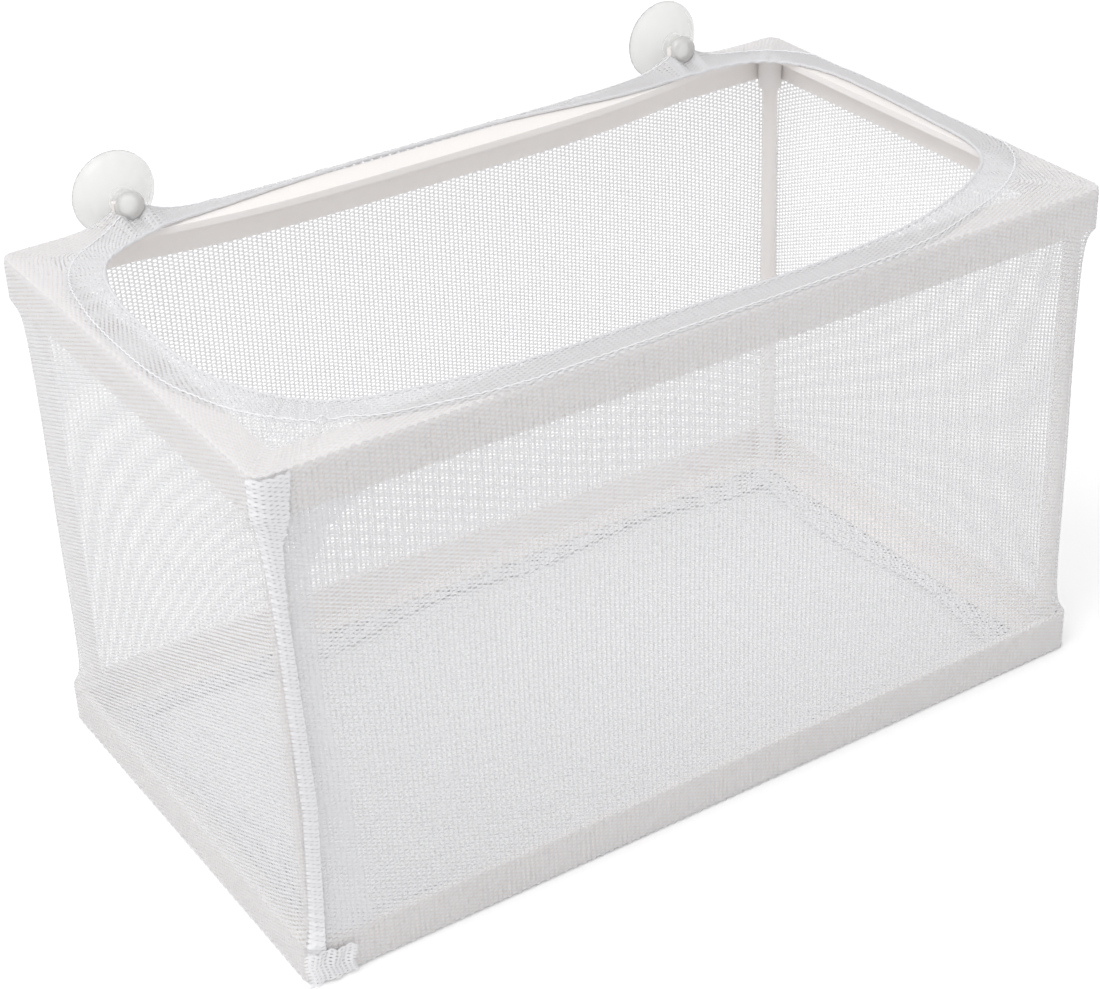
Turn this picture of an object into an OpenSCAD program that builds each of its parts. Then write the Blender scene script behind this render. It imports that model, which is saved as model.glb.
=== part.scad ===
// Hang-on fish breeding box: a knock-down plastic frame inside a fine net bag,
// hung on the aquarium glass by two clear suction cups. Millimetres, +Z up.
// The origin is the centre of the underside; the suction cups are on the +Y side.

/* [Frame] */
// Length of both rings, outside
frame_l = 264; // [220:1:300]
// Depth of both rings, outside
frame_w = 149; // [120:1:180]
// Height from the underside of the bottom ring to the top of the top ring
frame_h = 152.8; // [110:0.2:190]
// Height of a ring's upright wall
rail_h = 12; // [9:0.5:15]
// Thickness of a ring's upright wall and of its flange
rail_t = 2; // [1.6:0.1:2.4]
// Width of a ring's flat flange, measured from the ring's outer face
flange_w = 10; // [9.4:0.1:13]
// Radius of the rings' outer corners
corner_r = 3.6; // [2.6:0.1:4.4]

/* [Posts] */
// Diameter of the four corner posts
post_d = 5; // [4:0.1:5.4]
// Distance from the ring's outer face to a post
post_set = 2.8; // [2:0.1:3]
// Wall of the round sockets that hold the posts
socket_wall = 1.2; // [0.8:0.1:1.5]
// Height of the sockets, measured from the ring's flat side
socket_h = 14; // [10:0.5:18]
// Radial clearance of a post in its socket
post_fit = 0.05; // [0.03:0.01:0.1]

/* [Cup ears] */
// Distance from each suction cup's axis to the near end of the ring
cup_inset = 38; // [32:1:60]
// Width of an ear's low plinth
ear_w = 18; // [15:0.5:22]
// Height of the plinth over the ring's flat top
plinth_h = 1.6; // [1:0.1:2]
// Height of the suction cup's axis over the ring's flat top
axis_rise = 5.4; // [5.2:0.1:6.5]
// Width of each horn beside the cup's neck
horn_w = 2; // [1.5:0.1:2.6]
// How far the horns reach above the cup's axis
horn_rise = 1.2; // [0.6:0.1:2]

/* [Suction cups] */
// Diameter of the suction cup at its rim
cup_d = 25; // [20:0.5:30]
// Depth of the cup from the ear to the rim
cup_depth = 8; // [7:0.1:10]
// Height of the cup's outer dome
dome_h = 6.8; // [5.8:0.1:7.2]
// Depth of the hollow in the cup
hollow_h = 3.6; // [2.6:0.1:4]
// Width of the flat sealing rim
seal_w = 0.9; // [0.6:0.1:1.4]
// Diameter of the neck that turns in the ear
neck_d = 4.4; // [3.6:0.1:5]
// Radial clearance of the neck in the ear
neck_fit = 0.08; // [0.03:0.01:0.1]
// Diameter of the mushroom head
head_d = 8.6; // [7.6:0.1:9]
// Thickness of the mushroom head, dome included
head_t = 3.2; // [2.6:0.1:4]
// Gap between the ear and each shoulder of the cup
shoulder_gap = 0.2; // [0.1:0.05:0.4]

/* [Net bag] */
// Thickness of the net
net_t = 0.4; // [0.3:0.05:0.6]
// Openings along a long wall, a coarse grid for the knit's fine holes
long_windows = 12; // [8:1:12]
// Openings up a long wall
window_rows = 6; // [4:1:8]
// Width of the net left between openings
window_bar = 3; // [2.4:0.1:4]
// Width of the seam allowance around the floor panel
floor_seam_w = 14; // [11:0.5:18]
// Distance from the ring's outer face to the elastic edge, left side
hem_left = 13.5; // [11:0.5:18]
// Distance from the ring's outer face to the elastic edge, right side
hem_right = 9; // [7:0.5:14]
// Distance from the ring's outer face to the elastic edge, front side
hem_front = 8; // [7:0.5:12]
// Distance from the ring's outer face to the elastic edge, back side
hem_back = 7; // [7:0.5:9]
// Corner radius of the elastic edge, front left
hem_r_fl = 14; // [8:1:20]
// Corner radius of the elastic edge, front right
hem_r_fr = 42; // [30:1:50]
// Corner radius of the elastic edge, back right
hem_r_br = 30; // [25:1:36]
// Corner radius of the elastic edge, back left
hem_r_bl = 46; // [40:1:54]
// Diameter of the elastic cord in the hem
elastic_d = 1.2; // [0.8:0.1:1.6]
// Diameter of the hem's stitching thread
thread_d = 0.5; // [0.3:0.05:0.6]
// Gap between the elastic edge and the line of hem stitching
stitch_gap = 4; // [3:0.1:4.4]
// Clearance between soft pieces
soft_gap = 0.1; // [0.05:0.01:0.2]

/* [Side seam] */
// Width of the side seam and its allowance
seam_w = 8; // [7:0.5:14]
// Thickness of the side seam
seam_t = 0.9; // [0.6:0.1:1.2]
// Width of the bunched seam end at the bottom corner
tail_w = 11; // [8:0.5:13]
// Height of the bunched seam end
tail_h = 9; // [7:0.5:11]
// Thickness of the bunched seam end
tail_t = 1.8; // [1.2:0.1:2.6]

/* [Hidden] */
$fn = 64;

// levels, from the ground up
ring_base = 2 * net_t;                  // the bottom ring stands on the floor panel and its seam allowance
ring_top = ring_base + frame_h;
cup_axis_z = ring_top + axis_rise;

// half sizes of the rings and of the bag
half_l = frame_l / 2;
half_w = frame_w / 2;
least_r = 0.6;                          // inner corners that would come out sharper get this radius

// posts: set in from the rings' faces, so that the net draws in between the rings
post_inset = post_set + post_d / 2;
post_len = frame_h - 2 * rail_t;
socket_r = post_d / 2 + socket_wall;

// side seam: starts where the corner's curve ends, so that it lies flat against the front wall
seam_x = corner_r;

// openings in the long walls: clear of the posts, the side seam and the rails
window_edge = max(seam_x + seam_w, post_set + post_d) + window_bar / 2;

// ears: upright tabs in line with the back wall of the top ring
ear_back = half_w;
ear_front = half_w - rail_t;
slot_r = neck_d / 2 + neck_fit;
ear_clear = 0.3;                        // clearance of the net's cut-out around an ear

// cups
cup_spacing = frame_l - 2 * cup_inset;
hub_r = neck_d / 2 + 1;                 // shoulder that turns against the ear's back face
hub_root = 0.6;                         // how far the hub reaches into the dome
neck_root = 0.1;                        // how far the neck reaches into the hub and the head

// elastic edge in plan
hem_x0 = -half_l + hem_left;
hem_x1 = half_l - hem_right;
hem_y0 = -half_w + hem_front;
hem_y1 = half_w - hem_back;
elastic_inset = elastic_d / 2 + soft_gap;

plastic = "ivory";
net_white = "whitesmoke";
clear_pvc = "lightcyan";

// ---------- plan shapes ----------

// rectangle with four rounded corners: radii in the order front left, front right, back right, back left
module rounded_plan(x0, x1, y0, y1, r) {
    polygon([
        [x0 + r[0], y0], [x1 - r[1], y0], [x1, y0 + r[1]], [x1, y1 - r[2]],
        [x1 - r[2], y1], [x0 + r[3], y1], [x0, y1 - r[3]], [x0, y0 + r[0]],
    ]);
    translate([x0 + r[0], y0 + r[0]]) circle(r[0]);
    translate([x1 - r[1], y0 + r[1]]) circle(r[1]);
    translate([x1 - r[2], y1 - r[2]]) circle(r[2]);
    translate([x0 + r[3], y1 - r[3]]) circle(r[3]);
}

// plan of a ring, moved in from the ring's outer face
module ring_plan(inset) {
    r = max(corner_r - inset, least_r);
    rounded_plan(-half_l + inset, half_l - inset, -half_w + inset, half_w - inset, [r, r, r, r]);
}

// plan inside the elastic edge, grown outwards
module hem_plan(grow) {
    rounded_plan(hem_x0 - grow, hem_x1 + grow, hem_y0 - grow, hem_y1 + grow,
        [hem_r_fl + grow, hem_r_fr + grow, hem_r_br + grow, hem_r_bl + grow]);
}

// ---------- frame ----------

module at_posts() {
    for (sx = [-1, 1], sy = [-1, 1])
        translate([sx * (half_l - post_inset), sy * (half_w - post_inset), 0]) children();
}

// one ring with its flange at z = 0: upright wall, flange and four post sockets
module ring() {
    difference() {
        union() {
            difference() {
                linear_extrude(rail_h) ring_plan(0);
                translate([0, 0, rail_t]) linear_extrude(rail_h) ring_plan(rail_t);
                translate([0, 0, -1]) linear_extrude(rail_h) ring_plan(flange_w);
            }
            intersection() {
                at_posts() cylinder(r = socket_r, h = socket_h);
                linear_extrude(socket_h) ring_plan(0);
            }
        }
        translate([0, 0, rail_t]) at_posts() cylinder(d = post_d + 2 * post_fit, h = socket_h);
    }
}

// an ear: low plinth and two horns with an open slot for the cup's neck, z = 0 at the ring's flat top
module ear() {
    ear_mid = ear_front + rail_t / 2;
    difference() {
        union() {
            translate([-ear_w / 2, ear_front, 0]) cube([ear_w, rail_t, plinth_h]);
            translate([-slot_r - horn_w, ear_front, 0])
                cube([2 * (slot_r + horn_w), rail_t, axis_rise + horn_rise]);
        }
        translate([0, ear_mid, axis_rise]) rotate([90, 0, 0]) cylinder(r = slot_r, h = 2 * rail_t, center = true);
        translate([-slot_r, ear_mid - rail_t, axis_rise]) cube([2 * slot_r, 2 * rail_t, 2 * horn_rise]);
    }
}

module top_frame() {
    color(plastic) {
        translate([0, 0, ring_top]) mirror([0, 0, 1]) ring();
        for (sx = [-1, 1]) translate([sx * cup_spacing / 2, 0, ring_top]) ear();
    }
}

module bottom_frame() {
    color(plastic) translate([0, 0, ring_base]) ring();
}

module post(sx, sy) {
    color(plastic)
        translate([sx * (half_l - post_inset), sy * (half_w - post_inset), ring_base + rail_t])
            cylinder(d = post_d, h = post_len);
}

// ---------- net bag ----------

// sleeve of the bag, of which each wall panel is one part
module bag_sleeve() {
    translate([0, 0, net_t]) linear_extrude(ring_top) difference() {
        ring_plan(-net_t);
        ring_plan(0);
    }
}

// grid of openings between the rails, through a wall that runs along x over the origin
module wall_windows() {
    step_x = (frame_l - 2 * window_edge) / long_windows;
    step_z = (frame_h - 2 * rail_h - window_bar) / window_rows;
    for (i = [0 : long_windows - 1], j = [0 : window_rows - 1])
        translate([(i - (long_windows - 1) / 2) * step_x, 0, (j - (window_rows - 1) / 2) * step_z])
            cube([step_x - window_bar, 4 * net_t, step_z - window_bar], center = true);
}

// flat wall between two rounded corners
module long_wall(sy) {
    color(net_white) translate([0, sy * (half_w + net_t / 2), 0]) difference() {
        translate([0, 0, net_t + ring_top / 2]) cube([frame_l - 2 * corner_r, net_t, ring_top], center = true);
        translate([0, 0, ring_base + frame_h / 2]) wall_windows();
    }
}

// an end wall and the two rounded corners beside it
module end_wall(sx) {
    color(net_white) intersection() {
        bag_sleeve();
        translate([sx * half_l, 0, ring_top / 2]) cube([2 * corner_r, 2 * frame_w, 2 * ring_top], center = true);
    }
}

module net_floor() {
    color(net_white) linear_extrude(net_t) ring_plan(-net_t);
}

// the bag's top edge, turned over the ring's flat top and cut out around the ears
module net_collar() {
    color(net_white) translate([0, 0, ring_top]) linear_extrude(net_t) difference() {
        ring_plan(0);
        hem_plan(0);
        for (sx = [-1, 1])
            translate([sx * cup_spacing / 2, ear_front + rail_t])
                square([ear_w + 2 * ear_clear, 2 * (rail_t + ear_clear)], center = true);
    }
}

// doubled net around the edge of the floor, under the bottom ring's flange
module floor_seam() {
    color(net_white) translate([0, 0, net_t]) linear_extrude(net_t) difference() {
        ring_plan(0);
        ring_plan(floor_seam_w);
    }
}

// rolled seam and its allowance inside the front wall, from ring to ring
module side_seam() {
    color(net_white)
        translate([-half_l + seam_x, -half_w, ring_base + rail_h])
            cube([seam_w, seam_t, frame_h - 2 * rail_h]);
}

// bunched end of the side seam, outside the front left bottom corner
module seam_tail() {
    color(net_white)
        translate([-half_l, -half_w - net_t - tail_t, net_t]) cube([tail_w, tail_t, tail_h]);
}

// a cord laid along the elastic edge at a distance outside it: corners given by their numbers
module hem_arc(corner, grow, d) {
    cx = [hem_x0 + hem_r_fl, hem_x1 - hem_r_fr, hem_x1 - hem_r_br, hem_x0 + hem_r_bl][corner];
    cy = [hem_y0 + hem_r_fl, hem_y0 + hem_r_fr, hem_y1 - hem_r_br, hem_y1 - hem_r_bl][corner];
    r = [hem_r_fl, hem_r_fr, hem_r_br, hem_r_bl][corner] + grow;
    translate([cx, cy]) rotate(180 + 90 * corner) rotate_extrude(angle = 90) translate([r, 0]) circle(d = d, $fn = 24);
}

module hem_run(from, to, d) {
    run = to - from;
    translate([from[0], from[1], 0]) rotate([0, 90, atan2(run[1], run[0])])
        cylinder(d = d, h = norm(run), $fn = 24);
}

module left_run(grow, d) {
    hem_run([hem_x0 - grow, hem_y0 + hem_r_fl], [hem_x0 - grow, hem_y1 - hem_r_bl], d);
}

module front_run(grow, d) {
    hem_run([hem_x0 + hem_r_fl, hem_y0 - grow], [hem_x1 - hem_r_fr, hem_y0 - grow], d);
}

module right_run(grow, d) {
    hem_run([hem_x1 + grow, hem_y0 + hem_r_fr], [hem_x1 + grow, hem_y1 - hem_r_br], d);
}

module back_run(grow, d) {
    hem_run([hem_x0 + hem_r_bl, hem_y1 + grow], [hem_x1 - hem_r_br, hem_y1 + grow], d);
}

module elastic_cord() {
    color(net_white) translate([0, 0, ring_top + elastic_d / 2]) {
        for (corner = [0:3]) hem_arc(corner, -elastic_inset, elastic_d);
        left_run(-elastic_inset, elastic_d);
        front_run(-elastic_inset, elastic_d);
        right_run(-elastic_inset, elastic_d);
        back_run(-elastic_inset, elastic_d);
    }
}

// hem stitching on top of the collar, along the left, front and right sides
module hem_thread() {
    color(net_white) translate([0, 0, ring_top + net_t + thread_d / 2]) {
        for (corner = [0:1]) hem_arc(corner, stitch_gap, thread_d);
        left_run(stitch_gap, thread_d);
        front_run(stitch_gap, thread_d);
        right_run(stitch_gap, thread_d);
    }
}

// ---------- suction cups ----------

// profile turned about the cup's axis: radius along x, +y towards the glass, y = 0 at the ear's back face
module cup_profile() {
    rim_r = cup_d / 2;
    hollow_r = rim_r - seal_w;
    dome_r = (rim_r * rim_r + dome_h * dome_h) / (2 * dome_h);
    inner_r = (hollow_r * hollow_r + hollow_h * hollow_h) / (2 * hollow_h);
    difference() {
        intersection() {
            translate([0, cup_depth - dome_h + dome_r]) circle(dome_r);
            translate([0, cup_depth - dome_h]) square([rim_r, dome_h]);
        }
        translate([0, cup_depth - hollow_h + inner_r]) circle(inner_r);
    }
    // hub between the shoulder and the dome
    translate([0, shoulder_gap])
        square([hub_r, cup_depth - dome_h - shoulder_gap + hub_root]);
    // neck through the ear
    translate([0, -rail_t - shoulder_gap - neck_root])
        square([neck_d / 2, rail_t + 2 * (shoulder_gap + neck_root)]);
    // mushroom head with a domed face
    head_r = head_d / 2;
    face_h = head_t / 2;
    face_r = (head_r * head_r + face_h * face_h) / (2 * face_h);
    head_back = -rail_t - shoulder_gap;
    translate([0, head_back - face_h]) square([head_r, face_h]);
    intersection() {
        translate([0, head_back - head_t + face_r]) circle(face_r);
        translate([0, head_back - head_t]) square([head_r, face_h]);
    }
}

module suction_cup(sx) {
    color(clear_pvc)
        translate([sx * cup_spacing / 2, ear_back, cup_axis_z])
            rotate([-90, 0, 0]) rotate_extrude() cup_profile();
}

top_frame();
bottom_frame();
post(-1, -1);  // post_front_left
post(1, -1);  // post_front_right
post(-1, 1);  // post_back_left
post(1, 1);  // post_back_right
long_wall(-1);  // net_front
long_wall(1);  // net_back
end_wall(-1);  // net_left
end_wall(1);  // net_right
net_floor();
net_collar();
floor_seam();
side_seam();
seam_tail();
elastic_cord();
hem_thread();
suction_cup(-1);  // suction_cup_left
suction_cup(1);  // suction_cup_right
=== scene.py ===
# %% [markdown]
# # A net breeding box for aquariums
# Two white plastic rings and four posts carry a bag of knitted net, and two
# clear suction cups hang the box on the glass. The CAD frame gives the sizes
# and places. The bottom ring and the posts are shown as they come, with a
# better finish. The net, the cups and the top ring are made here, because the
# net's holes, gathers and hems are what the eye sees first.

import bmesh
import bpy
import numpy as np
from mathutils import Matrix, Vector


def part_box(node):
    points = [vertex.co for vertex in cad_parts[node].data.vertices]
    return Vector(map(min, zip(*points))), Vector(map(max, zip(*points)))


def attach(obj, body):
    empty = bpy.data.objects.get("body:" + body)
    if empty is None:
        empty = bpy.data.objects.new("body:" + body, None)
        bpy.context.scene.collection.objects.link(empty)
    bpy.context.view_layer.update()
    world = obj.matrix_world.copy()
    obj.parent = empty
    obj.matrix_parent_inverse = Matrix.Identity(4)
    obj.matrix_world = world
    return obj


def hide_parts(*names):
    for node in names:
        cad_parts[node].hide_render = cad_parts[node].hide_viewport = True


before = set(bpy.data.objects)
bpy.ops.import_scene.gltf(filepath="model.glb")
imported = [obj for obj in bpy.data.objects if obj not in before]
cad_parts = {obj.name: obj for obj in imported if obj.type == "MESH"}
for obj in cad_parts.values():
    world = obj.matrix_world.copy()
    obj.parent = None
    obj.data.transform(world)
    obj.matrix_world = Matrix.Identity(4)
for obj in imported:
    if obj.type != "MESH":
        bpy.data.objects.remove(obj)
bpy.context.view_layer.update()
MM = 0.001


def box_mm(node):
    """A CAD node's lowest and highest corner in mm, to the nearest 0.01."""
    low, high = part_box(node)
    return np.round(np.array(low) / MM, 2), np.round(np.array(high) / MM, 2)


# %% [markdown]
# ## Camera
# The box stands on a table and is seen from its front left, a little from
# above, through a long lens. A camera can be aimed with a constraint at an
# empty. Here it is set by where it is, the direction it looks in, a small
# roll and its lens, because these four facts are easy to read and change one
# at a time.

# %% Camera
CAMERA_AT = np.array([-333.4, -526.2, 441.8])
LOOK = np.array([0.4526, 0.7272, -0.5161])
ROLL = np.radians(-2.514)
FOCAL, SENSOR = 81.54, 36.0
NEAR, FAR = 0.05, 20.0

look = LOOK / np.linalg.norm(LOOK)
level = np.cross(look, [0, 0, 1])
level /= np.linalg.norm(level)
upright = np.cross(level, look)
right = np.cos(ROLL) * level + np.sin(ROLL) * upright
up = np.cos(ROLL) * upright - np.sin(ROLL) * level
lens = bpy.data.cameras.new("camera")
lens.sensor_width = SENSOR
lens.lens = FOCAL
lens.clip_start, lens.clip_end = NEAR, FAR
camera = bpy.data.objects.new("camera", lens)
turn = Matrix(np.column_stack([right, up, -look]).tolist()).to_4x4()
camera.matrix_world = Matrix.Translation(Vector((CAMERA_AT * MM).tolist())) @ turn
bpy.context.scene.collection.objects.link(camera)
bpy.context.scene.camera = camera
bpy.context.scene.view_settings.view_transform = "Standard"
print("camera looks down by", round(float(np.degrees(np.arcsin(-look[2]))), 1), "degrees")

# %% [markdown]
# ## Light and backdrop
# A pale studio: an even white world does most of the work, and one large soft
# lamp high on the left makes the left and top faces a little brighter than
# the front. More lamps would give the thin net many faint shadows. The
# backdrop is white only to the camera, to glossy rays and to rays that go
# through clear plastic, so it adds no light to the object.

# %% Colour and node helpers
def linear(hex_colour):
    """An sRGB hex colour as linear red, green, blue and alpha."""
    s = np.array([int(hex_colour[i : i + 2], 16) / 255 for i in (1, 3, 5)])
    value = np.where(s <= 0.04045, s / 12.92, ((s + 0.055) / 1.055) ** 2.4)
    return (*value.tolist(), 1.0)


def add(tree, kind, links=(), **settings):
    """Adds one node. Settings that name an input set its value, others set
    the node's own property. links are (input, output socket) pairs."""
    node = tree.nodes.new(kind)
    for key, value in settings.items():
        socket = node.inputs.get(key.replace("_", " "))
        if hasattr(node, key):
            setattr(node, key, value)
        elif socket is not None:
            socket.default_value = value
        else:
            raise KeyError(f"{kind} has no {key}")
    for name, source in links:
        tree.links.new(node.inputs[name], source)
    return node


def backdrop_rays(tree):
    """A socket that is 1 for the rays that see the white backdrop: camera
    rays, glossy rays and rays through clear plastic. It is 0 for others."""
    ray = add(tree, "ShaderNodeLightPath")
    seen = ray.outputs["Is Camera Ray"]
    for kind in ("Is Glossy Ray", "Is Transmission Ray"):
        either = add(tree, "ShaderNodeMath", [(0, seen), (1, ray.outputs[kind])], operation="MAXIMUM")
        seen = either.outputs[0]
    return seen


print("the grey #808080 is", round(linear("#808080")[0], 3), "of white in linear light")

# %% World and lamp
WORLD_LEVEL = 0.76
KEY_POWER = 9.0
# in metres: the lamp's edge, its middle, and the spot on the box that it faces
SOFTBOX_SIZE = 0.9
SOFTBOX_AT = Vector((-0.70, -0.12, 1.35))
SOFTBOX_FACES = Vector((0, 0, 0.08))

world = bpy.data.worlds.new("white_studio")
bpy.context.scene.world = world
world.use_nodes = True
tree = world.node_tree
tree.nodes.clear()
seen = backdrop_rays(tree)
lights = add(tree, "ShaderNodeBackground", Color=linear("#FFFFFF"), Strength=WORLD_LEVEL)
shows = add(tree, "ShaderNodeBackground", Color=linear("#FFFFFF"), Strength=1.0)
mixed = add(tree, "ShaderNodeMixShader", [(0, seen), (1, lights.outputs[0]), (2, shows.outputs[0])])
add(tree, "ShaderNodeOutputWorld", [("Surface", mixed.outputs[0])])

lamp = bpy.data.lights.new("softbox", "AREA")
lamp.shape = "RECTANGLE"
lamp.size = SOFTBOX_SIZE
lamp.size_y = SOFTBOX_SIZE
lamp.energy = KEY_POWER
softbox = bpy.data.objects.new("softbox", lamp)
aim = (SOFTBOX_AT - SOFTBOX_FACES).to_track_quat("Z", "Y").to_matrix().to_4x4()
softbox.matrix_world = Matrix.Translation(SOFTBOX_AT) @ aim
bpy.context.scene.collection.objects.link(softbox)
print("world", WORLD_LEVEL, "softbox", KEY_POWER, "W")

# %% [markdown]
# ## Meshes from whole arrays
# The net has hundreds of thousands of small faces, which would take minutes
# to add one by one. So every new piece is worked out as numpy arrays of points
# and faces in millimetres and put into its mesh in one go. Its object stays
# at the origin.

# %% Mesh helpers
def make_piece(name, points, loops, sizes, material):
    """Makes a mesh object from points (n, 3) in mm, a flat list of corner
    numbers and the number of corners of each face."""
    mesh = bpy.data.meshes.new(name)
    mesh.vertices.add(len(points))
    mesh.vertices.foreach_set("co", (np.asarray(points) * MM).astype(np.float32).ravel())
    mesh.loops.add(len(loops))
    mesh.loops.foreach_set("vertex_index", np.asarray(loops, dtype=np.int32))
    mesh.polygons.add(len(sizes))
    starts = np.concatenate([[0], np.cumsum(sizes)[:-1]]).astype(np.int32)
    mesh.polygons.foreach_set("loop_start", starts)
    mesh.polygons.foreach_set("use_smooth", np.ones(len(sizes), dtype=bool))
    mesh.update(calc_edges=True)
    mesh.validate()
    mesh.materials.append(material)
    piece = bpy.data.objects.new(name, mesh)
    bpy.context.scene.collection.objects.link(piece)
    return piece


def grid_faces(nu, nv, close_u=False, close_v=False):
    """Quads of a grid of nu by nv points, numbered u first, which may close
    on itself in either direction."""
    i = np.arange(nu if close_u else nu - 1)
    j = np.arange(nv if close_v else nv - 1)
    i, j = np.meshgrid(i, j, indexing="ij")
    i2, j2 = (i + 1) % nu, (j + 1) % nv
    quads = np.stack([i * nv + j, i2 * nv + j, i2 * nv + j2, i * nv + j2], axis=-1).reshape(-1, 4)
    return quads.ravel(), np.full(len(quads), 4)


def round_tube(name, path, radius, sides, material):
    """A closed round tube along a closed path, as a piece: each point is
    carried out from the path by radius times cos(turn) to the side and
    sin(turn) along the upward normal. radius is one number, or one for each
    point of the path and each side."""
    along = np.roll(path, -1, axis=0) - np.roll(path, 1, axis=0)
    along /= np.linalg.norm(along, axis=1)[:, None]
    side = np.cross(along, [0, 0, 1.0])
    side /= np.linalg.norm(side, axis=1)[:, None]
    over = np.cross(side, along)
    turn = np.linspace(0, 2 * np.pi, sides, endpoint=False)[None, :, None]
    out = np.cos(turn) * side[:, None] + np.sin(turn) * over[:, None]
    reach = np.broadcast_to(radius, (len(path), sides))[..., None]
    points = (path[:, None] + reach * out).reshape(-1, 3)
    return make_piece(name, points, *grid_faces(len(path), sides, True, True), material)


print("a grid of 4 by 3 points has", len(grid_faces(4, 3)[1]), "quads")

# %% [markdown]
# ## The plastic
# The rings and posts are injection moulded polypropylene. It is milky white
# with a breath of warmth, satin rather than glossy, and its broad faces carry
# a faint orange-peel from the mould and slow flow marks. One noise for the
# colour and one for the bump are enough, because both are too faint to need
# a pattern of their own.

# %% Moulded plastic
FLOW_MARK = 30.3
PEEL_GRAIN, PEEL_DEPTH = 0.8, 0.05


def principled(name, colour, **settings):
    """A material with one Principled shader. Returns it with its tree, the
    shader node and the output node."""
    material = bpy.data.materials.new(name)
    material.use_nodes = True
    tree = material.node_tree
    tree.nodes.clear()
    shader = add(tree, "ShaderNodeBsdfPrincipled", Base_Color=linear(colour), **settings)
    out = add(tree, "ShaderNodeOutputMaterial", [("Surface", shader.outputs[0])])
    return material, tree, shader, out


def dress_plastic(name, colour, flow_colour):
    """Moulded plastic: slow flow marks in the colour and an orange-peel bump,
    with noise scales of 1 over their sizes. Light goes 2 to 2.5 mm into it,
    red the furthest, which gives the milky look."""
    depths = (2.5 * MM, 2.3 * MM, 2.0 * MM)
    material, tree, shader, _ = principled(
        name, colour, Roughness=0.42, IOR=1.49,
        Subsurface_Weight=0.25, Subsurface_Radius=depths, Subsurface_Scale=1.0,
    )
    place = add(tree, "ShaderNodeTexCoord").outputs["Object"]
    flow = add(tree, "ShaderNodeTexNoise", [("Vector", place)], Scale=1 / (FLOW_MARK * MM), Detail=2.0)
    tint = add(tree, "ShaderNodeMix", [("Factor", flow.outputs[0])], data_type="RGBA")
    tint.inputs[6].default_value = linear(colour)
    tint.inputs[7].default_value = linear(flow_colour)
    tree.links.new(shader.inputs["Base Color"], tint.outputs[2])
    peel = add(tree, "ShaderNodeTexNoise", [("Vector", place)], Scale=1 / (PEEL_GRAIN * MM), Detail=1.0)
    depth = PEEL_DEPTH * MM
    bump = add(tree, "ShaderNodeBump", [("Height", peel.outputs[0])], Strength=0.12, Distance=depth)
    tree.links.new(shader.inputs["Normal"], bump.outputs[0])
    return material


polypropylene = dress_plastic("moulded_polypropylene", "#F3EFED", "#EDE9E6")
print("material", polypropylene.name)

# %% [markdown]
# ## The yarn
# The net is warp-knitted polyester monofilament: white, a little glossy along
# the filament, and thin enough to let some light through. The holes could be
# cut out by a transparent pattern, but here they are real openings in the
# mesh, so that they show from every side. The material then has only the
# yarn's own finish: fine specks of light and dark about half a millimetre
# long. Where the net is sewn double, less light comes through, and its colour
# is painted a little whiter than the single net's, which lifts the shade in
# the seams and folds where it lies.

# %% Net yarn
SPECK = 0.625


def dress_yarn(name, colour, shade_colour, through=0.4):
    """Polyester yarn: a Principled surface mixed with a translucent one, in
    the share that goes through, and specks in both, where filaments cross."""
    material, tree, shader, out = principled(
        name, colour, Roughness=0.48, IOR=1.57, Sheen_Weight=0.15, Sheen_Roughness=0.4
    )
    place = add(tree, "ShaderNodeTexCoord").outputs["Object"]
    speck = add(tree, "ShaderNodeTexNoise", [("Vector", place)], Scale=1 / (SPECK * MM), Detail=2.0)
    tint = add(tree, "ShaderNodeMix", [("Factor", speck.outputs[0])], data_type="RGBA")
    tint.inputs[6].default_value = linear(shade_colour)
    tint.inputs[7].default_value = linear(colour)
    tree.links.new(shader.inputs["Base Color"], tint.outputs[2])
    glow = add(tree, "ShaderNodeBsdfTranslucent", [("Color", tint.outputs[2])])
    both = add(tree, "ShaderNodeMixShader", [(1, shader.outputs[0]), (2, glow.outputs[0])])
    both.inputs[0].default_value = through
    tree.links.new(out.inputs["Surface"], both.outputs[0])
    return material


sewing_thread = principled("white_sewing_thread", "#F3F3F5", Roughness=0.5, IOR=1.57)[0]
knitted_polyester = dress_yarn("knitted_polyester", "#F8F8F9", "#EDEDEF")
# painted light: the doubled yarn's colours are lighter than the single net's, to lift the shade that falls
# in the seams, the flap and the bunched tail
doubled_polyester_painted_lighter = dress_yarn("doubled_polyester_painted_lighter", "#FAFAFB", "#F1F1F4", through=0.15)
print("materials", knitted_polyester.name, "and", doubled_polyester_painted_lighter.name)

# %% [markdown]
# ## The knit
# The real net has rows of six-sided holes. One column of holes is 1.5 mm from
# the next and half a hole higher, and the holes in a column are 1.22 mm apart.
# Modelling each filament would take millions of faces. Instead each hole
# brings two knots, left and right of the strand above it. A knot has three
# corners, one between each pair of its strands, and the strands are the quads
# between the corners of neighbouring knots. So six points and five small
# faces a hole make the whole fabric, with real openings.

# %% Knit on the flat
PITCH_U = 1.515
PITCH_V = 1.22
# half the width of a strand: in the open net, the hem, the sewn seams, the
# bunched tail, and the folded strip on the corner, where the net is densest
STRAND = 0.30
THICK_STRAND = 0.32
CLOSE_STRAND = 0.38
TAIL_STRAND = 0.43
STRIP_STRAND = 0.47
# a stitch stands out above and below a knot and sinks at its side, so the
# knit is about 0.3 mm thick and closes up when it is seen along its face
RELIEF = 0.16 * np.array([1, -1, 1, 1, -1, 1])

SLOPE = np.arctan2(PITCH_V / 2, PITCH_U / 3)


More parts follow.
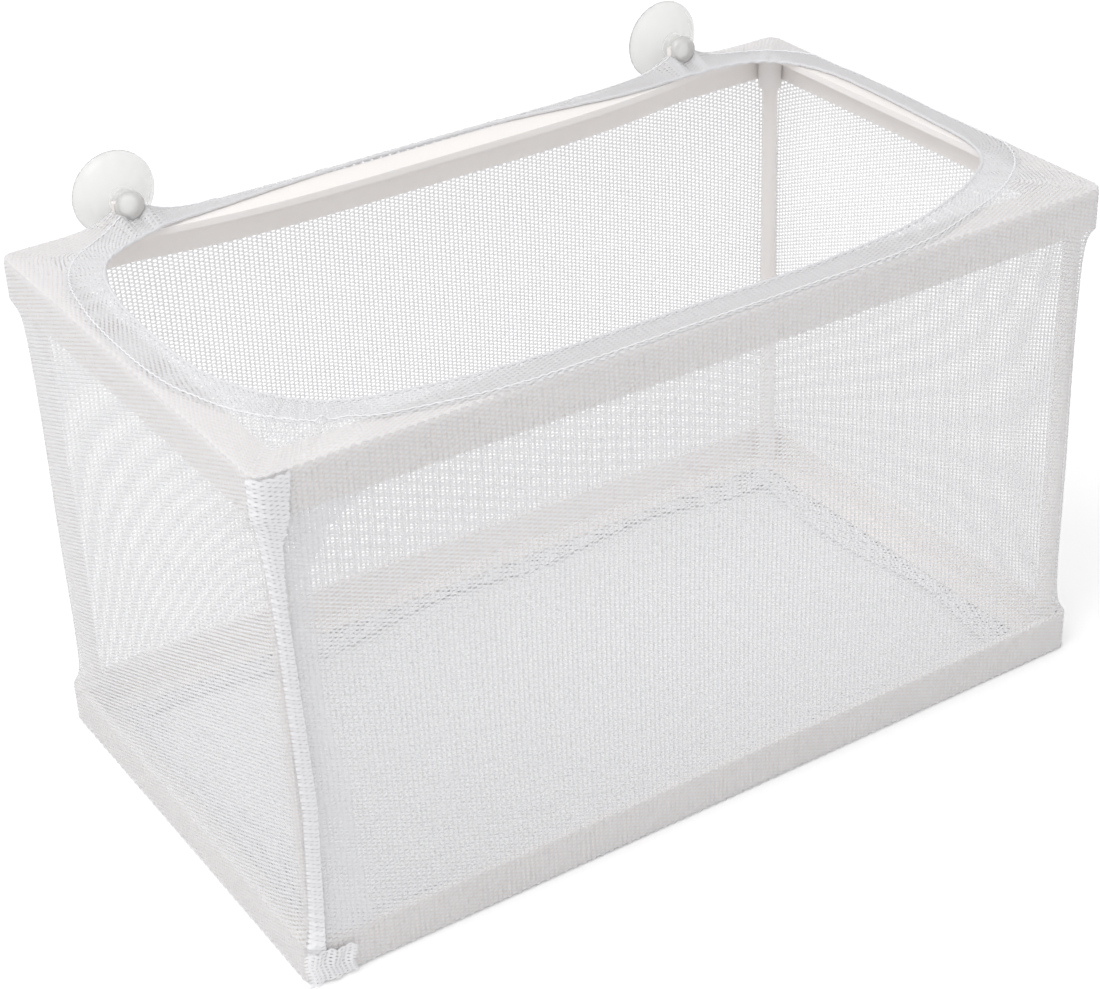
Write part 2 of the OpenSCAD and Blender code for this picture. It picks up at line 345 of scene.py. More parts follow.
def knot(strand):
    """The three corners of a left knot: above, to the left and below. Each
    lies half a strand's width from the middle lines of both its strands."""
    above = (np.pi - SLOPE) / 2
    up, side = strand / np.sin(above), strand / np.sin(SLOPE)
    x, y = up * np.cos(above), up * np.sin(above)
    return np.array([[x, y], [-side, 0], [x, -y]])


def knit(columns, rows, closed=False, strand=STRAND):
    """The net's points on the flat, as (column, row, knot corner) arrays u
    and v in mm, and the faces. A hole's centre is u = column * PITCH_U and
    v = row * PITCH_V, half a row higher in odd columns. Its left knot is at
    u - PITCH_U / 3 and its right knot at u + PITCH_U / 3, both half a row
    above the centre. A closed knit joins its last column to its first.
    Returns u, v, and the quads and the triangles with their columns."""
    i, j = np.meshgrid(np.arange(columns), np.arange(rows), indexing="ij")
    u0 = i * PITCH_U
    v0 = j * PITCH_V + (i % 2) * PITCH_V / 2 + PITCH_V / 2
    du, dv = knot(strand).T
    u = np.concatenate([u0[..., None] - PITCH_U / 3 + du, u0[..., None] + PITCH_U / 3 - du], axis=-1)
    v = np.concatenate([v0[..., None] + dv, v0[..., None] + dv], axis=-1)

    def faces(*corners):
        """Faces whose corners are given as (column, row, knot corner)."""
        numbers = [(a * rows + b) * 6 + k for a, b, k in corners]
        return np.stack(numbers, axis=-1).reshape(-1, len(corners))

    column = i.ravel()
    quads, owners = [faces((i, j, 0), (i, j, 2), (i, j, 5), (i, j, 3))], [column]
    for rise in (0, 1):
        # the strand from a right knot down or up to the next column's left knot
        i2 = (i + 1) % columns if closed else i + 1
        j2 = j + (i % 2) - 1 + rise
        inside = ((i2 < columns) & (j2 >= 0) & (j2 < rows)).ravel()
        if rise:
            slant = faces((i, j, 4), (i2, j2, 2), (i2, j2, 1), (i, j, 3))
        else:
            slant = faces((i, j, 5), (i2, j2, 1), (i2, j2, 0), (i, j, 4))
        quads.append(slant[inside])
        owners.append(column[inside])
    left, right = faces((i, j, 0), (i, j, 1), (i, j, 2)), faces((i, j, 3), (i, j, 5), (i, j, 4))
    tris = np.concatenate([left, right])
    return u, v, (np.concatenate(quads), np.concatenate(owners)), (tris, np.concatenate([column, column]))


print("strands slope by", round(float(np.degrees(SLOPE)), 1), "degrees")

# %% Net pieces
def net_piece(name, points, quads, tris, keep=None, material=knitted_polyester):
    """A net object from knot corners (n, 3). Faces with a corner that keep
    leaves out are dropped, and so are points that no face uses."""
    points = points.reshape(-1, 3)
    if keep is not None:
        quads, tris = (faces[keep[faces].all(axis=1)] for faces in (quads, tris))
    used = np.zeros(len(points), dtype=bool)
    used[quads] = True
    used[tris] = True
    renumber = np.cumsum(used) - 1
    loops = np.concatenate([renumber[quads].ravel(), renumber[tris].ravel()])
    sizes = np.concatenate([np.full(len(quads), 4), np.full(len(tris), 3)])
    piece = make_piece(name, points[used], loops, sizes, material)
    print(name, "has", len(quads) * 2 + len(tris), "triangles")
    return piece


# %% Share of yarn
PATCH = 40


def summed_area(p, q):
    """Half the cross product of each pair of sides or diagonals, summed."""
    return np.abs(p[:, 0] * q[:, 1] - p[:, 1] * q[:, 0]).sum() / 2


def yarn_share(strand):
    """The part of the flat net that is yarn: the area of all faces of a
    patch divided by the area that its holes and yarn take together."""
    u, v, (quads, _), (tris, _) = knit(PATCH, PATCH, strand=strand)
    flat = np.stack([u.ravel(), v.ravel()], axis=-1)
    of_quads = summed_area(flat[quads[:, 2]] - flat[quads[:, 0]], flat[quads[:, 3]] - flat[quads[:, 1]])
    of_tris = summed_area(flat[tris[:, 1]] - flat[tris[:, 0]], flat[tris[:, 2]] - flat[tris[:, 0]])
    return (of_quads + of_tris) / (PATCH * PITCH_U * PATCH * PITCH_V)


STRANDS = (STRAND, THICK_STRAND, CLOSE_STRAND, TAIL_STRAND, STRIP_STRAND)
YARN, THICK_YARN, CLOSE_YARN, TAIL_YARN, STRIP_YARN = (yarn_share(strand) for strand in STRANDS)
print("yarn covers", round(YARN, 2), "of the net, and", round(THICK_YARN, 2), "of the hem,")
print("or", round(CLOSE_YARN, 2), "of a seam,", round(TAIL_YARN, 2), "of the tail", end=" ")
print("and", round(STRIP_YARN, 2), "of the strip")

# %% [markdown]
# ## The bag
# The bag is cut in one length that runs round the rings, over their top edge
# and in to an elastic cord. A point of it is named by s, the way round the
# ring, and by its height or its distance in from the edge. On the rings the
# net lies on the plastic. Between them it is a stretched membrane that the
# posts draw in at the corners. A cloth simulation could find its shape, but
# the height of a membrane beside a straight edge has a short formula, an
# arctangent of sines, which is exact and quick.

# %% Way round the ring
# the middle of the net's thickness is this far out from the rings' sides and
# this far over the top ring's flange, where the CAD's collar begins
OUT, OVER = 0.2, 0.3
HALF = box_mm("bottom_frame")[1][:2] + OUT
CORNER_R = 3.8
# the posts draw the corners in by this much, to a tighter radius
DRAW_IN, DRAWN_R = 2.8, 2.7
# the side seam runs from one ring's rail to the other's
RAIL_LOW, RAIL_HIGH = (corner[2] for corner in box_mm("side_seam"))
EDGE_Z = box_mm("net_collar")[0][2] + OVER
FLOOR_Z = 0.25
# the net's length from the floor up to the ring's top edge
WALL_V = EDGE_Z - FLOOR_Z

SIDES = np.array([HALF[0], HALF[1], HALF[0], HALF[1]]) * 2 - 2 * CORNER_R
ARC = np.pi / 2 * CORNER_R
ROUND = SIDES.sum() + 4 * ARC
COLUMNS = int(round(ROUND / PITCH_U / 2)) * 2
STARTS = np.concatenate([[0], np.cumsum(SIDES + ARC)])
HEADING = np.radians([0, 90, 180, 270])


def plan(s, inset=0.0, radius=CORNER_R):
    """A point of a rounded rectangle inset from the ring's face: along side
    number k it is the side's start plus the share of its length, and on the
    corner after it a quarter circle. Also gives the outward direction and
    the distances to the corners behind and before."""
    s = np.mod(s, ROUND)
    k = np.clip(np.searchsorted(STARTS, s, side="right") - 1, 0, 3)
    local = s - STARTS[k]
    share = np.clip(local / SIDES[k], 0, 1)
    bend = np.clip((local - SIDES[k]) / ARC, 0, 1) * np.pi / 2
    half = HALF - inset
    reach = np.where(k % 2 == 0, half[0], half[1]) - radius
    away = np.where(k % 2 == 0, half[1], half[0]) - radius
    heading = HEADING[k]
    along = np.stack([np.cos(heading), np.sin(heading)], axis=-1)
    out = np.stack([np.sin(heading), -np.cos(heading)], axis=-1)
    facing = np.stack([np.sin(heading + bend), -np.cos(heading + bend)], axis=-1)
    point = along * (reach * (2 * share - 1))[..., None] + out * away[..., None] + facing * radius
    return point, facing, np.clip(local, 0, SIDES[k]), np.clip(SIDES[k] - local, 0, SIDES[k])


print("once round is", round(ROUND, 1), "mm, in", COLUMNS, "columns of holes")

# %% Bow of the back rail
BOW, BOW_HALF = 6.6, 96.0
# the net follows the rail's bow by this share
NET_SHARE = 0.72
# beyond this y a point belongs to the back of the box
BACK_FROM = 40.0


def bow(x):
    """How far the top ring's back rail is pulled inwards at x by the elastic:
    the depth times (1 - (x / half length) ** 4) ** 1.3, nothing beyond."""
    return BOW * np.clip(1 - (x / BOW_HALF) ** 4, 0, 1) ** 1.3


print("the back rail is still bowed by", round(float(bow(60.0)), 1), "mm at x = 60")

# %% Wall of the bag
# a corner counts as this far past the end of its straight side
CORNER_REACH = 3.0
# the height of the slow ripples
SLACK = 0.35


def wall(s, z, lift=0.0):
    """A point of the bag's wall. It is the ring's outline at the rails and is
    drawn towards the posts' outline between them, by the share
    2 / pi * arctan(sin(pi * height) / sinh(pi * distance / span)) for each
    corner. The top follows the bowed rail, and slow ripples stay slack."""
    span = RAIL_HIGH - RAIL_LOW
    height = np.clip((z - RAIL_LOW) / span, 0, 1)
    swell = np.sin(np.pi * height)
    rail, facing, behind, before = plan(s)
    drawn = plan(s, DRAW_IN, DRAWN_R)[0]
    steep = (np.sinh(np.pi * (distance + CORNER_REACH) / span) for distance in (behind, before))
    share = sum(2 / np.pi * np.arctan(swell / sinh) for sinh in steep)
    share = np.clip(share, 0, 1)[..., None]
    xy = rail * (1 - share) + drawn * share
    slack = SLACK * np.sin(s / 19.0 + 2.1 * height) * np.sin(s / 43.0 + 5.0 * height) * swell
    xy = xy + facing * (slack + lift)[..., None]
    xy[..., 1] -= np.where(xy[..., 1] > BACK_FROM, NET_SHARE * bow(xy[..., 0]) * height, 0)
    return np.concatenate([xy, z[..., None]], axis=-1)


middle = wall(np.array([SIDES[0] / 2]), np.array([(RAIL_LOW + RAIL_HIGH) / 2]))[0]
print("middle of the front wall, mm:", middle.round(1))

# %% [markdown]
# ## The elastic edge
# The open edge of the bag is hemmed round an elastic cord. It crosses the
# corners of the ring in wide uneven arcs, and it is pinched where the side
# seam ends. No formula gives such a hand-sewn line, so it is a closed spline
# through a few listed points.

# %% Line of the elastic
ELASTIC = np.array(
    [
        (-94, -56.4), (-83, -59.4), (-71, -62), (-58, -63.6), (-36, -64.8), (24, -65.4), (50, -64.6),
        (75, -61.4), (94, -55.2), (108, -48.5), (118, -40.2), (123.2, -28), (124.8, -10),
        (126, 18), (125.2, 38), (119.5, 52.8), (108, 60.8), (88, 62.3), (67, 62.4),
        (50, 64.6), (25, 68), (0, 68.6), (-36, 68.2), (-66, 65.5), (-89, 62.6),
        (-106.5, 55), (-114.5, 44.6), (-118.6, 25), (-119.6, 0), (-118.4, -20),
        (-115, -32), (-110, -42.5), (-103.4, -51),
    ]
)
ELASTIC_POINTS = 1500
# steps from one knot of the spline to the next
STEPS = 24


def closed_spline(knots, count):
    """A closed curve of count points through the knots: between two knots it
    is the Catmull-Rom cubic, then points are spread evenly along its length.
    Also gives the length."""
    t = np.linspace(0, 1, STEPS, endpoint=False)[:, None]
    p0, p1, p2, p3 = (np.roll(knots, 1 - k, axis=0)[:, None] for k in range(4))
    bends = (2 * p0 - 5 * p1 + 4 * p2 - p3) * t**2 + (3 * p1 - p0 - 3 * p2 + p3) * t**3
    curve = (0.5 * (2 * p1 + (p2 - p0) * t + bends)).reshape(-1, knots.shape[1])
    ring = np.concatenate([curve, curve[:1]])
    length = np.concatenate([[0], np.cumsum(np.linalg.norm(np.diff(ring, axis=0), axis=1))])
    even = np.linspace(0, length[-1], count, endpoint=False)
    spread = [np.interp(even, length, ring[:, axis]) for axis in range(knots.shape[1])]
    return np.stack(spread, axis=-1), length[-1]


elastic_line, elastic_length = closed_spline(ELASTIC, ELASTIC_POINTS)
print("elastic edge is", round(elastic_length), "mm round")

# %% [markdown]
# ## The collar
# From the outer edge the net turns in over the flange to the elastic. On the
# straight sides it runs square to the edge; at the corners it fans in to the
# elastic, and its columns crowd together and pucker. Each column is a ray
# from the edge towards a rectangle well inside the ring, and where the ray
# meets the elastic is the column's end. That keeps every column apart from
# the next, which a plain offset of the edge would not do at the corners.

# %% Columns of the collar
# the rectangle is this far inside the ring, and further at the front
FAN, FAN_FRONT = 40.0, 6.0
# no collar is wider; where a ray meets nothing, a sliver is left
WIDEST, LEAST = 70.0, 1.0
NOWHERE = 1e9


def collar_ends(s):
    """For each way round s: the edge point, the unit direction in to the
    elastic and the distance to it. A ray from the edge point meets the
    spline's short segments; the nearest meeting is kept."""
    edge = wall(s, np.full(np.shape(s), EDGE_Z))[..., :2]
    inner = np.clip(edge, FAN - HALF + [0, FAN_FRONT], HALF - FAN)
    towards = inner - edge
    towards /= np.linalg.norm(towards, axis=1)[:, None]
    step = np.roll(elastic_line, -1, axis=0) - elastic_line
    gap = elastic_line[None] - edge[:, None]
    cross = towards[:, None, 0] * step[None, :, 1] - towards[:, None, 1] * step[None, :, 0]
    cross = np.where(np.abs(cross) < 1e-9, 1e-9, cross)
    far = (gap[..., 0] * step[None, :, 1] - gap[..., 1] * step[None, :, 0]) / cross
    on = (gap[..., 0] * towards[:, None, 1] - gap[..., 1] * towards[:, None, 0]) / cross
    far = np.where((on >= 0) & (on <= 1) & (far > 0.2), far, NOWHERE).min(axis=1)
    return edge, towards, np.where(far > WIDEST, LEAST, far)


# the collar's width is found at this many places and read between them
FINE = 2048
fine_s = np.arange(FINE) * ROUND / FINE
fine_edge, fine_towards, fine_far = collar_ends(fine_s)
print("collar is", round(float(fine_far.min()), 1), "to", round(float(fine_far.max()), 1), "mm wide")


def read_round(s, values):
    """Values known at fine_s, read at any s by linear steps."""
    s = np.mod(s, ROUND)
    at = np.concatenate([fine_s, [ROUND]])
    values = np.concatenate([values, values[:1]])
    if values.ndim == 1:
        return np.interp(s, at, values)
    return np.stack([np.interp(s, at, column) for column in values.T], axis=-1)


# %% Tents, tuck and gathers
EARS, _, AXIS_Z = np.round(sum(box_mm("suction_cup_right")) / 2, 1)
# a tent's height and the width of its slopes, and the y from which it rises
# and how far it takes to rise
TENT, TENT_WIDE = 5.2, 8.0
TENT_FROM, TENT_DEEP = 60.0, 12.0
# the middle of the tuck, on the collar at the front left corner
TUCK_AT = np.array([-108.75, -63.25])


def tent(xy):
    """How high the net is held up beside an ear: it climbs to the cup's neck
    from both sides, as exp(-(distance / width) ** 1.6), and dips under it.
    A smooth step fades it out in front of the ear."""
    off = np.minimum(np.abs(xy[..., 0] - EARS), np.abs(xy[..., 0] + EARS))
    climb = TENT * np.exp(-((off / TENT_WIDE) ** 1.6)) * np.clip((off - 1.0) / 3.0, 0.25, 1)
    front = np.clip((xy[..., 1] - TENT_FROM) / TENT_DEEP, 0, 1)
    return climb * front * front * (3 - 2 * front)


def tuck(xy):
    """The fold that the side seam pulls in the corner: a narrow ridge along
    the diagonal, 1.3 mm high, and a low swell 6 mm to its right, both bells
    across the diagonal that end about 11 mm along it."""
    off = xy - TUCK_AT
    across = (off[..., 0] - off[..., 1]) / np.sqrt(2)
    along = (off[..., 0] + off[..., 1]) / np.sqrt(2)
    window = np.exp(-((along / 11.0) ** 4))
    return window * (1.3 * np.exp(-((across / 1.1) ** 2)) + 0.8 * np.exp(-(((across - 6.0) / 4.0) ** 2)))


def pucker(s, share):
    """Gathers: uneven waves 8.3 mm long, up to 0.42 mm high at the corners
    and 0.1 mm elsewhere, which grow towards the elastic."""
    _, _, behind, before = plan(s)
    corner = np.exp(-np.minimum(behind, before) / 22.0)
    wave = 0.5 + 0.5 * np.sin(2 * np.pi * s / 8.3 + 2.2 * np.sin(s / 21.0))
    return (0.1 + 0.32 * corner) * wave * np.clip(share, 0, 1)


print("the cups' necks are at x =", -EARS, "and", EARS, "and z =", AXIS_Z, "mm")

# %% The whole bag as one surface
# the fold over the ring's sharp edge: its reach each way, and how far it is
# pulled in, which is no more than the net's clearance from the plastic
FOLD_R, FOLD_IN = 1.3, 0.2


def bag(s, v, lift=0.0):
    """A point of the whole bag. v is the way up the wall and, past its top
    edge, the way in over the collar, where it ends at the elastic."""
    z = np.minimum(v, WALL_V) + FLOOR_Z
    on_wall = wall(s, z, lift)
    top = np.clip((z - RAIL_HIGH) / (EDGE_Z - RAIL_HIGH), 0, 1)
    on_wall[..., 2] += tent(on_wall[..., :2]) * top
    far = read_round(s, fine_far)
    w = np.clip(v - WALL_V, 0, far)
    xy = read_round(s, fine_edge) + read_round(s, fine_towards) * w[..., None]
    over = EDGE_Z + lift + tent(xy) + pucker(s, w / far) + tuck(xy) * np.clip(w / 3.0, 0, 1)
    on_collar = np.concatenate([xy, over[..., None]], axis=-1)
    point = np.where((v <= WALL_V)[..., None], on_wall, on_collar)
    # the fold is left out where the collar is only a sliver
    near = FOLD_IN * np.clip(1 - np.abs(v - WALL_V) / FOLD_R, 0, 1) ** 2 * (far > 2)
    point[..., :2] -= plan(s)[1] * near[..., None]
    point[..., 2] -= near
    return point


top_front = bag(np.array([SIDES[0] / 2]), np.array([WALL_V]))[0]
print("top edge at the middle of the front, mm:", top_front.round(1))

# %% Knit laid on the bag
# a whole number of columns goes round, so the pitch is fitted to the bag
PITCH_U = ROUND / COLUMNS
rows = int((WALL_V + fine_far.max()) / PITCH_V) + 2
u, v, (quads, quad_column), (tris, tri_column) = knit(COLUMNS, rows, closed=True)
# no stitch is quite in its place: the columns wave slowly, and each point is
# a few hundredths of a millimetre off
rng = np.random.default_rng(41)
lie = rng.normal(0, 0.03, u.shape) + RELIEF
u = u + 0.25 * np.sin(v / 23.0 + u / 37.0) + rng.normal(0, 0.02, u.shape)
v = v + 0.2 * np.sin(u / 29.0) + rng.normal(0, 0.02, v.shape)
points = bag(u, v)
# the relief turns from outwards to upwards round the fold, where the net is
# pulled taut over the ring's edge and lies flatter
past_edge = v - WALL_V
lie = lie * (1 - 0.75 * np.exp(-((past_edge / 1.5) ** 2)))
turn_up = np.pi / 2 * np.clip(0.5 + past_edge / (2 * FOLD_R), 0, 1)
points[..., :2] += plan(u)[1] * (lie * np.cos(turn_up))[..., None]
points[..., 2] += lie * np.sin(turn_up)
print("the bag has", u.size, "knot corners")

# %% Walls and collar
# walls and collar overlap by about half a row on each side of the edge, and
# the collar's last stitches go round the elastic
LAP_OVER, LAP_UNDER = 0.61, 0.6
PAST_ELASTIC = 0.9
on_wall = (v <= WALL_V + LAP_OVER).ravel()
limit = WALL_V + read_round(u, fine_far)
on_collar = ((v > WALL_V - LAP_UNDER) & (v < limit + PAST_ELASTIC)).ravel()
corner_columns = (STARTS[1:] - ARC / 2) / PITCH_U


def between(column, first, last):
    """Whether a column comes from first to last, going round the bag."""
    return np.mod(column - first, COLUMNS) < np.mod(last - first, COLUMNS)


walls = {}
for k, name in enumerate(("net_front", "net_right", "net_back", "net_left")):
    ends = corner_columns[k - 1], corner_columns[k]
    wall_quads, wall_tris = quads[between(quad_column, *ends)], tris[between(tri_column, *ends)]
    walls[name] = net_piece("bag_" + name, points, wall_quads, wall_tris, on_wall)
collar = net_piece("bag_collar", points, quads, tris, on_collar)

# %% [markdown]
# ## The hem
# The edge is turned back 10 mm over the elastic and sewn down, so near the
# elastic the net is double. One thick layer would hide the holes. The second
# layer is the same knit, laid from the elastic outwards and down over the
# ring's edge where the collar is narrow.

# %% Hem layer
HEM = 10.0
# how far the hem lies above the collar, and how much of that it has lost at
# its stitched edge
HEM_LIFT, HEM_FALL = 0.45, 0.22
# along the front it ends this far from the ring's edge
STOP_SHORT = 0.8
# the two layers' holes don't lie over each other
ASIDE, ASKEW = 0.7, 0.4


def hem(s, e, lift):
    """A point of the turned-back layer, e mm out from the elastic. Along the
    front it is drawn in to stop short of the ring's edge; at the back, where
    the collar is only a sliver, it goes over the edge and down. Its lift over
    the collar falls towards its stitched edge."""
    far = read_round(s, fine_far)
    fit = np.clip((far - STOP_SHORT) / HEM, 0, 1)
    wide_enough = np.clip((far - 4.0) / 3.0, 0, 1)
    lies_down = lift - HEM_FALL * np.clip(e / HEM, 0, 1)
    return bag(s, WALL_V + far - e * (1 - (1 - fit) * wide_enough), lies_down)


hem_rows = int(HEM / PITCH_V) + 1
hu, hv, (hem_quads, _), (hem_tris, _) = knit(COLUMNS, hem_rows, closed=True, strand=THICK_STRAND)
hem_points = hem(hu + ASIDE, hv - ASKEW, HEM_LIFT)
hem_points[..., 2] += 0.7 * RELIEF
hem_layer = net_piece("hem_layer", hem_points, hem_quads, hem_tris)

# %% Elastic and thread
# the elastic is wrapped by the net, so its radius is uneven; the thread is a
# line of stitches five points long
CORD_POINTS, CORD_SIDES, CORD_R, CORD_LIFT = 1700, 10, 0.48, 0.35
THREAD_POINTS, THREAD_SIDES, THREAD_R, THREAD_LIFT = 1600, 6, 0.2, 0.6
STITCH_OUT, STITCH_SWAY = 9.4, 0.18
# further in than any collar: bag() stops at the elastic
PAST_ALL = 1e3

cord_s = np.linspace(0, ROUND, CORD_POINTS, endpoint=False)
cord_path = bag(cord_s, np.full(CORD_POINTS, PAST_ALL), CORD_LIFT)
turn = np.linspace(0, 2 * np.pi, CORD_SIDES, endpoint=False)
wrap = CORD_R + 0.04 * np.sin(np.arange(CORD_POINTS)[:, None] * 1.3 + 2 * turn[None])
elastic = round_tube("elastic_edge", cord_path, wrap, CORD_SIDES, knitted_polyester)
thread_s = np.linspace(0, ROUND, THREAD_POINTS, endpoint=False)
sway = STITCH_SWAY * np.sin(np.arange(THREAD_POINTS) * 2 * np.pi / 5)
thread_path = hem(thread_s, STITCH_OUT + sway, THREAD_LIFT)
thread = round_tube("hem_stitching", thread_path, THREAD_R, THREAD_SIDES, sewing_thread)
print("elastic and hem stitching laid, with", THREAD_POINTS // 5, "stitches")

# %% [markdown]
# ## The floor
# The floor is a panel of the same net, sewn to the walls all round. It is
# stretched flat by the bottom ring, so it is the flat knit with slow waves in
# its columns. Its seam allowance is a loose double band that shows inside the
# bottom ring: the same knit again, run round the ring's outline, with an
# uneven edge that rises where nothing holds it down.

# %% Floor net
FLOOR_LIE = 0.34
floor_columns, floor_rows = int(2 * HALF[0] / PITCH_U), int(2 * HALF[1] / PITCH_V)
fu, fv, (floor_quads, _), (floor_tris, _) = knit(floor_columns, floor_rows)
fu = fu - fu.mean()
fv = fv - fv.mean()
fz = FLOOR_LIE + rng.normal(0, 0.03, fu.shape) + RELIEF
inside = ((np.abs(fu) < HALF[0]) & (np.abs(fv) < HALF[1])).ravel()
floor_points = np.stack([fu + 0.2 * np.sin(fv / 17), fv + 0.2 * np.sin(fu / 23), fz], axis=-1)
floor_net = net_piece("floor_net", floor_points, floor_quads, floor_tris, inside)

# %% Floor seam
# the band's mean width, the width it is knitted before its edge is trimmed,
# and what it has more at the box's two ends, which are beyond this x
SEAM_W, SEAM_CUT, SEAM_MORE, ENDS_FROM = 16.0, 24.0, 3.0, 131.0
SEAM_ASIDE = 0.6
# under the bottom ring's flange the band is held down flat
FLANGE, FLAT_Z, FREE_Z = 10.1, 0.6, 0.75
# net is kept up to about half a row or half a column past a panel's edge
ROW_OVER, COLUMN_OVER = 0.6, 0.8

seam_rows = int(SEAM_CUT / PITCH_V)
su, sv, (seam_quads, _), (seam_tris, _) = knit(COLUMNS, seam_rows, closed=True, strand=CLOSE_STRAND)
# the band's holes don't lie over the floor's
edge, facing, _, _ = plan(su + SEAM_ASIDE)
at_ends = np.abs(edge[..., 0]) > ENDS_FROM
wavy = SEAM_W + 2.2 * np.sin(su / 13.0) + 1.6 * np.sin(su / 31.0 + 1) + SEAM_MORE * at_ends
reach = np.minimum(sv, wavy)
past = np.clip(reach - FLANGE, 0, None)
free_z = FREE_Z + 2.1 * np.exp(-past / 4.0) + 0.06 * past * (1 + np.sin(su / 6.0))
sz = np.where(reach < FLANGE, FLAT_Z, free_z)
seam_points = np.concatenate([edge - facing * reach[..., None], sz[..., None]], axis=-1)
seam_keep = (sv < wavy + ROW_OVER).ravel()
floor_seam = net_piece(
    "floor_seam_allowance", seam_points, seam_quads, seam_tris, seam_keep, doubled_polyester_painted_lighter
)

# %% [markdown]
# ## The side seam
# The bag is closed by one seam at the front left corner. Its allowance hangs
# inside as a narrow double flap. Outside, the closed seam is a folded strip,
# two dense layers over the post, and its end is bunched at the bottom corner.
# Each is a strip of close knit laid on the wall's own surface, so it follows
# the wall wherever that goes, and its width comes from a short list of
# heights and widths.

# %% Side seam flap
# height and distance of the flap's free edge from the post's middle, in mm
FLAP = np.array(
    [
        (12.8, 20), (30, 18.5), (60, 16), (80, 12.5), (104, 11.8), (120, 11.4),
        (124, 13.4), (127, 15.4), (133, 18), (138, 23), (142.4, 33),
    ]
)
FLAP_FROM, FLAP_TO, FLAP_COLUMNS = 2.0, 153.0, 26
# the corner's part of that distance, and how far the flap is inside the wall
TO_POST, FLAP_IN = 3.0, 0.8

flap_rows = int((FLAP_TO - FLAP_FROM) / PITCH_V)
au, av, (flap_quads, _), (flap_tris, _) = knit(FLAP_COLUMNS, flap_rows, strand=CLOSE_STRAND)
az = FLAP_FROM + av
wide = np.interp(az, FLAP[:, 0], FLAP[:, 1]) - TO_POST
far_in = np.clip(au, 0, wide)
ripple = 0.9 + 0.8 * np.sin(az / 7.0 + au / 5.0) * np.clip(au / 8, 0, 1)
flap_points = wall(ROUND + far_in, az)
flap_points[..., 1] += FLAP_IN + ripple
flap_keep = (au < wide + COLUMN_OVER).ravel()
side_seam = net_piece("side_seam_flap", flap_points, flap_quads, flap_tris, flap_keep, doubled_polyester_painted_lighter)

# %% Seam strip on the corner
# height, how far the strip has wandered along the front, and its width: it
# spreads where it goes over the top ring
STRIP = np.array(
    [
        (9, 2.0, 4.6), (23, 2.5, 4.6), (54, 3.8, 4.5), (116, 1.8, 4.4),
        (133, 0.3, 6.5), (141, 0, 9.5), (153.9, 0, 11),
    ]
)
STRIP_FROM, STRIP_COLUMNS = ROUND - 5.2, 10
# the stitches of the seam pull ribs across the strip, one every 2.6 mm
RIB, RIB_HIGH = 2.6, 0.16
# how far each layer is moved along and lifted off the wall
STRIP_LAYERS = ((0, 0.45), (0.7, 0.6))

strip_rows = int((EDGE_Z - STRIP[0, 0]) / PITCH_V)
pu, pv, (strip_quads, _), (strip_tris, _) = knit(STRIP_COLUMNS, strip_rows, strand=STRIP_STRAND)
pz = STRIP[0, 0] + pv
wander, broad = (np.interp(pz, STRIP[:, 0], STRIP[:, k]) for k in (1, 2))
ribs = RIB_HIGH * np.sin(2 * np.pi * pz / RIB + 0.5 * pu + 1.2 * np.sin(pz / 9))
layers = [
    wall(STRIP_FROM + wander + np.clip(pu + shift, 0, broad), pz, lift + 0.25 * RELIEF + ribs)
    for shift, lift in STRIP_LAYERS
]
strip_keep = np.tile((pu < broad + COLUMN_OVER).ravel(), 2)
both_quads, both_tris = (np.concatenate([faces, faces + pu.size]) for faces in (strip_quads, strip_tris))
seam_strip = net_piece(
    "side_seam_strip", np.stack(layers), both_quads, both_tris, strip_keep, doubled_polyester_painted_lighter
)

# %% Seam tail
TAIL_COLUMNS, TAIL_ROWS = 11, 10
TAIL_W, TAIL_H = TAIL_COLUMNS * PITCH_U, TAIL_ROWS * PITCH_V
# where the bunch starts and how far it spreads along the front
TAIL_X, TAIL_Y, TAIL_Z = -132.4, -75.65, 0.6
TAIL_SPREAD = 14.5
# the angle in radians that its pleats turn through from end to end
PLEATS = 15.5

tu, tv, (tail_quads, _), (tail_tris, _) = knit(TAIL_COLUMNS, TAIL_ROWS, strand=TAIL_STRAND)
fold = tu / TAIL_W
pleat = np.sin(PLEATS * fold + 0.9 * np.sin(tv * 0.5)) * (0.65 + 0.35 * np.sin(5.0 * fold + 0.6 * tv))
tail_points = np.stack(
    [
        TAIL_X + TAIL_SPREAD * fold + 0.5 * np.sin(tv * 0.55 + 2.0 * fold),
        TAIL_Y - 0.5 * pleat - 0.1 * fold,
        TAIL_Z + tv * 0.9 * (1 - 0.2 * fold) + 0.3 * np.cos(PLEATS * fold) * (0.4 + tv / 14.0),
    ],
    axis=-1,
)
seam_tail = net_piece("seam_tail_bunch", tail_points, tail_quads, tail_tris, material=doubled_polyester_painted_lighter)

# %% [markdown]
# ## The suction cups
# Soft clear PVC, moulded in one: a mushroom head, a neck that sits in the
# ring's ear, a hub and a thin dome. The shape is round all over, so each cup
# is one profile turned round its axis. The solid head and neck look milkier
# than the thin dome, so they have a finish of their own.

# %% Clear PVC
clear_vinyl = principled("clear_soft_pvc", "#F5F5F4", Roughness=0.25, IOR=1.5, Transmission_Weight=0.7)[0]
milky_vinyl = principled("thick_milky_pvc", "#F0F0EE", Roughness=0.3, IOR=1.5, Transmission_Weight=0.5)[0]
print("materials", clear_vinyl.name, "and", milky_vinyl.name)

